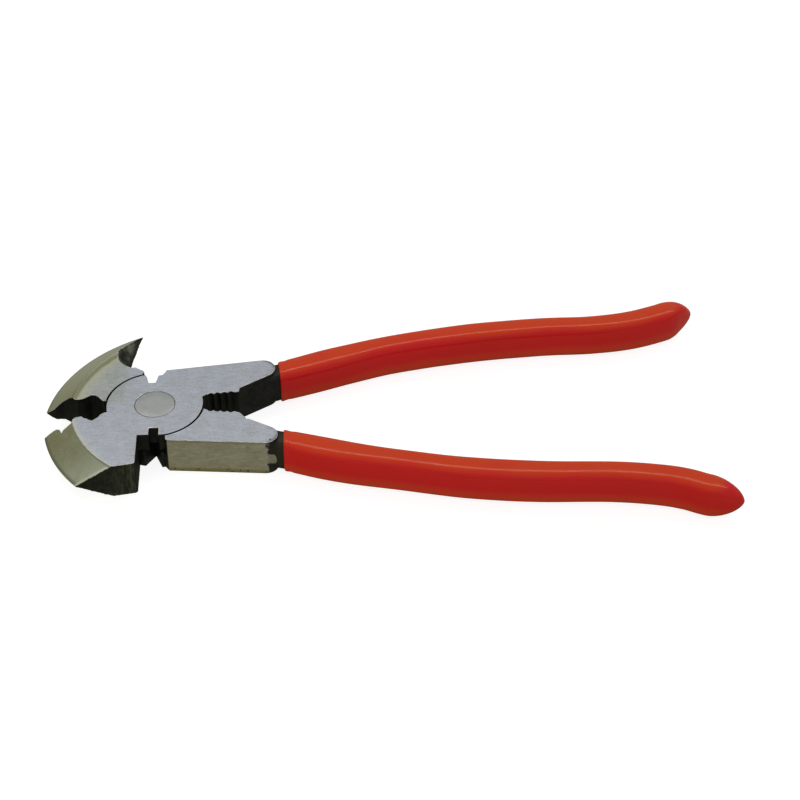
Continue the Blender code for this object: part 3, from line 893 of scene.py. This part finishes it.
def make_rivet():
    """Turns the rivet, with a softly rounded rim and a slightly dished end on each side."""
    end = (
        (0.0, RIVET_DISH),
        (RIVET_RADIUS * 0.5, RIVET_DISH * 0.7),
        (RIVET_RADIUS - 3 * RIVET_ROUND, 0.0),
        (RIVET_RADIUS - RIVET_ROUND, RIVET_ROUND * 0.25),
        (RIVET_RADIUS, RIVET_ROUND),
        (RIVET_RADIUS, RIVET_RIM),
        (RIVET_SHANK, RIVET_CONE),
    )
    profile = list(end) + [(radius, THICKNESS - z) for radius, z in reversed(end)]
    shape = bmesh.new()
    rings = []
    for radius, z in profile:
        if radius == 0:
            rings.append([shape.verts.new((0, 0, z * MM))])
            continue
        ring = []
        for i in range(RIVET_SIDES):
            angle = 2 * math.pi * i / RIVET_SIDES
            place = Vector((radius * math.cos(angle), radius * math.sin(angle), z))
            ring.append(shape.verts.new(place * MM))
        rings.append(ring)
    for low, high in zip(rings, rings[1:]):
        for i in range(RIVET_SIDES):
            after = (i + 1) % RIVET_SIDES
            corners = [low[i % len(low)], low[after % len(low)]]
            corners += [high[after % len(high)], high[i % len(high)]]
            shape.faces.new(list(dict.fromkeys(corners)))
    bmesh.ops.recalc_face_normals(shape, faces=shape.faces)
    mesh = bpy.data.meshes.new("rivet")
    shape.to_mesh(mesh)
    shape.free()
    mesh.materials.append(rivet_steel())
    shade_edges(mesh, sharp_from=35)
    obj = bpy.data.objects.new("rivet_turned", mesh)
    bpy.context.scene.collection.objects.link(obj)
    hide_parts("pivot_rivet")
    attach(obj, "hammer_side")
    return obj


# Grips ----------------------------------------------------------------------------------


def smooth_point(line, share):
    """Returns a point and a direction on the smooth curve through the line's points."""
    spans = len(line) - 1
    index = min(int(share * spans), spans - 1)
    t = share * spans - index
    p1, p2 = Vector(line[index]), Vector(line[index + 1])
    p0 = Vector(line[index - 1]) if index > 0 else 2 * p1 - p2
    p3 = Vector(line[index + 2]) if index + 2 < len(line) else 2 * p2 - p1
    a = 2 * p1
    b = p2 - p0
    c = 2 * p0 - 5 * p1 + 4 * p2 - p3
    d = 3 * p1 - p0 - 3 * p2 + p3
    point = (a + b * t + c * t * t + d * t**3) / 2
    direction = (b + 2 * c * t + 3 * d * t * t) / 2
    return point, direction.normalized()


def share_at_x(line, x):
    """Returns how far along the curve it crosses an X."""
    low, high = 0.0, 1.0
    for _ in range(40):
        middle = (low + high) / 2
        if smooth_point(line, middle)[0].x < x:
            low = middle
        else:
            high = middle
    return low


def section(line, share, width, height, skew=0.0, power=SECTION_POWER):
    """Returns the rounded cross-section of a handle, upright across its centreline."""
    centre, direction = smooth_point(line, share)
    across = Vector((-direction.y, direction.x)) + direction * skew
    points = []
    for i in range(GRIP_SIDES):
        angle = 2 * math.pi * (i + 0.5) / GRIP_SIDES
        c, s = math.cos(angle), math.sin(angle)
        side = math.copysign(abs(c) ** (2 / power), c) * width / 2
        rise = math.copysign(abs(s) ** (2 / power), s) * height / 2
        place = centre + across * side
        points.append(Vector((place.x, place.y, MID_HEIGHT + rise)))
    return points


def grip_width(x):
    """Returns a grip's width at a distance along X, eased between the given widths."""
    for (x0, width0), (x1, width1) in zip(GRIP_WIDTHS, GRIP_WIDTHS[1:]):
        if x <= x1:
            share = (x - x0) / (x1 - x0)
            return width0 + (width1 - width0) * (1 - math.cos(math.pi * share)) / 2
    return GRIP_WIDTHS[-1][1]


def lip_change(distance):
    """Returns how much slimmer the grip is near its mouth: a rounded lip, then a dip."""
    distance = max(distance, 0.0)
    if distance < LIP_ROUND:
        rise = math.sqrt(LIP_ROUND**2 - (LIP_ROUND - distance) ** 2)
        return LIP_ROLL * (LIP_ROUND - rise)
    if distance < LIP_LENGTH:
        share = (distance - LIP_ROUND) / (LIP_LENGTH - LIP_ROUND)
        return LIP_DIP * math.sin(math.pi * share) ** 2
    return 0.0


def slant(x, start_x, mouth_skew):
    """Returns how much a section slants: as the mouth does, less and less behind it."""
    return mouth_skew * clamp(1 - (x - start_x) / MOUTH_SKEW_LENGTH)


def socket_section(line, share, start_x, mouth_skew):
    """Returns the inside of the sleeve, a gap away from the forged bar."""
    x = smooth_point(line, share)[0].x
    slim = clamp((x - NECK_END) / (TANG_START - NECK_END))
    width = NECK_WIDTH + (TANG_WIDTH - NECK_WIDTH) * slim + 2 * GRIP_GAP
    height = NECK_HEIGHT + (TANG_HEIGHT - NECK_HEIGHT) * slim + 2 * GRIP_GAP
    return section(line, share, width, height, slant(x, start_x, mouth_skew))


def grip_rings(line, start_x, mouth_skew):
    """Returns the sleeve's rings: up the socket, round the lip and along to the tip."""
    start = share_at_x(line, start_x)
    tip = share_at_x(line, line[-1][0] - TIP_LENGTH)
    socket_end = share_at_x(line, line[-1][0] - TANG_SHORTFALL + 2 * GRIP_GAP)
    rings = []
    # The inside, from its deep end out to the mouth.
    for i in range(SOCKET_RINGS + 1):
        share = socket_end + (start - socket_end) * i / SOCKET_RINGS
        rings.append(socket_section(line, share, start_x, mouth_skew))
    # The outside, with its rings closest together at the lip.
    for i in range(GRIP_RINGS + 1):
        share = start + (tip - start) * (i / GRIP_RINGS) ** RING_CROWDING
        x = smooth_point(line, share)[0].x
        change = lip_change(x - start_x) + GRIP_INSET
        width, height = grip_width(x) - change, GRIP_HEIGHT - change
        rings.append(section(line, share, width, height, slant(x, start_x, mouth_skew)))
    # The tip, which closes in and grows rounder.
    end_width = grip_width(line[-1][0]) - GRIP_INSET
    for i in range(1, TIP_RINGS + 1):
        reach = math.sin(math.pi / 2 * i / (TIP_RINGS + TIP_OPENING))
        size = (1 - reach**2) ** TIP_POWER
        power = SECTION_POWER + (TIP_SECTION_POWER - SECTION_POWER) * reach
        share = tip + (1 - tip) * reach
        rings.append(section(line, share, end_width * size, GRIP_HEIGHT * size, 0.0, power))
    return rings


def make_grip(node, body, line, start_x, mouth_skew, material):
    """Joins a grip's rings, closes both ends and sinks the outside in a faint wave."""
    shape = bmesh.new()
    rings = []
    for points in grip_rings(line, start_x, mouth_skew):
        rings.append([shape.verts.new(point * MM) for point in points])
    for low, high in zip(rings, rings[1:]):
        for i in range(GRIP_SIDES):
            after = (i + 1) % GRIP_SIDES
            shape.faces.new((low[i], low[after], high[after], high[i]))
    shape.faces.new(rings[0])
    shape.faces.new(rings[-1])
    bmesh.ops.recalc_face_normals(shape, faces=shape.faces)
    shape.normal_update()
    past_lip = SOCKET_RINGS + 3
    moves = {}
    for vert in (vert for ring in rings[past_lip:] for vert in ring):
        place = [along / MM / length for along, length in zip(vert.co, DIP_WAVE_LENGTHS)]
        wave = noise.noise(Vector(place))
        moves[vert] = -vert.normal * clamp(0.5 + wave) * DIP_WAVE * MM
    for vert, move in moves.items():
        vert.co += move
    mesh = bpy.data.meshes.new(node)
    shape.to_mesh(mesh)
    shape.free()
    mesh.materials.append(material)
    shade_edges(mesh, sharp_from=60)
    obj = bpy.data.objects.new(f"{node}_vinyl", mesh)
    bpy.context.scene.collection.objects.link(obj)
    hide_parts(node)
    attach(obj, body)
    return obj


# Stage ----------------------------------------------------------------------------------


def make_floor():
    """A pale floor that the camera sees, and that doesn't colour the tool's reflections."""
    mesh = bpy.data.meshes.new("floor")
    corners = ((-1, -1), (1, -1), (1, 1), (-1, 1))
    verts = [(x * FLOOR_REACH, y * FLOOR_REACH, -FLOOR_DROP) for x, y in corners]
    mesh.from_pydata(verts, [], [(0, 1, 2, 3)])
    mesh.materials.append(pale_floor())
    floor = bpy.data.objects.new("floor", mesh)
    bpy.context.scene.collection.objects.link(floor)
    floor.visible_glossy = False
    floor.visible_diffuse = False


def make_sky():
    """A studio sky: cool above, straw and olive at the horizon, darker left, brighter in front."""
    world = bpy.data.worlds.new("studio")
    bpy.context.scene.world = world
    world.use_nodes = True
    sky = Nodes(world.node_tree)
    place = sky.add("ShaderNodeTexCoord").outputs["Generated"]
    x, y, z = sky.add("ShaderNodeSeparateXYZ", {"Vector": place}).outputs
    stops = [((height + 1) / 2, colour) for height, colour in SKY]
    colour = sky.ramp(sky.remap(z, -1.0, 1.0), *stops)
    left = sky.times(sky.remap(x, -0.2, -0.7), sky.remap(z, 0.95, 0.45))
    colour = sky.blend(left, colour, SKY_LEFT, "MULTIPLY")
    front = sky.times(sky.remap(y, 0.0, -0.6), sky.remap(z, -0.2, 0.2))
    colour = sky.blend(front, colour, SKY_FRONT, "MULTIPLY")
    low_back = sky.times(sky.remap(y, 0.2, 0.6), sky.remap(z, -0.38, -0.55))
    colour = sky.blend(low_back, colour, SKY_LOW_BACK, "MULTIPLY")
    sky.tree.links.new(colour, sky.tree.nodes["Background"].inputs["Color"])


def area_light(name, place, target, size, watts, colour):
    light = bpy.data.lights.new(name, "AREA")
    light.shape = "RECTANGLE"
    light.size, light.size_y = size
    light.energy = watts
    light.color = colour
    obj = bpy.data.objects.new(name, light)
    bpy.context.scene.collection.objects.link(obj)
    obj.location = place
    obj.rotation_euler = (Vector(target) - Vector(place)).to_track_quat("-Z", "Y").to_euler()
    return obj


def make_lights():
    """A long strip high behind the tool, and a small fill light low in front of the jaws."""
    area_light(
        "strip",
        place=(0.08, 0.62, 1.15),
        target=(0.08, 0.0, 0.0),
        size=(2.2, 0.22),
        watts=6.8,
        colour=(1.0, 0.92, 0.92),
    )
    fill = area_light(
        "fill",
        place=(-0.34, -0.38, 0.12),
        target=(0.12, -0.05, 0.0),
        size=(0.7, 0.2),
        watts=0.55,
        colour=(1.0, 0.95, 0.92),
    )
    fill.visible_glossy = False


def make_camera():
    """The photograph's viewing angle: in front, half way up, a long lens."""
    data = bpy.data.cameras.new("camera")
    data.lens = CAMERA_LENS
    data.sensor_width = 36.0
    data.clip_start = 0.01
    camera = bpy.data.objects.new("camera", data)
    bpy.context.scene.collection.objects.link(camera)
    back = CAMERA_RIGHT.cross(CAMERA_UP)
    turn = Matrix((CAMERA_RIGHT, CAMERA_UP, back)).transposed().to_4x4()
    camera.matrix_world = Matrix.Translation(CAMERA_PLACE) @ turn
    bpy.context.scene.camera = camera


def main():
    make_camera()
    make_floor()
    make_sky()
    make_lights()
    bpy.context.scene.view_settings.view_transform = "Standard"
    finishes = steel_finishes()
    make_half("hammer_half", "hammer_side", finishes)
    make_half("claw_half", "claw_side", finishes)
    make_rivet()
    vinyl = red_vinyl()
    for grip in GRIPS:
        make_grip(*grip, vinyl)


main()
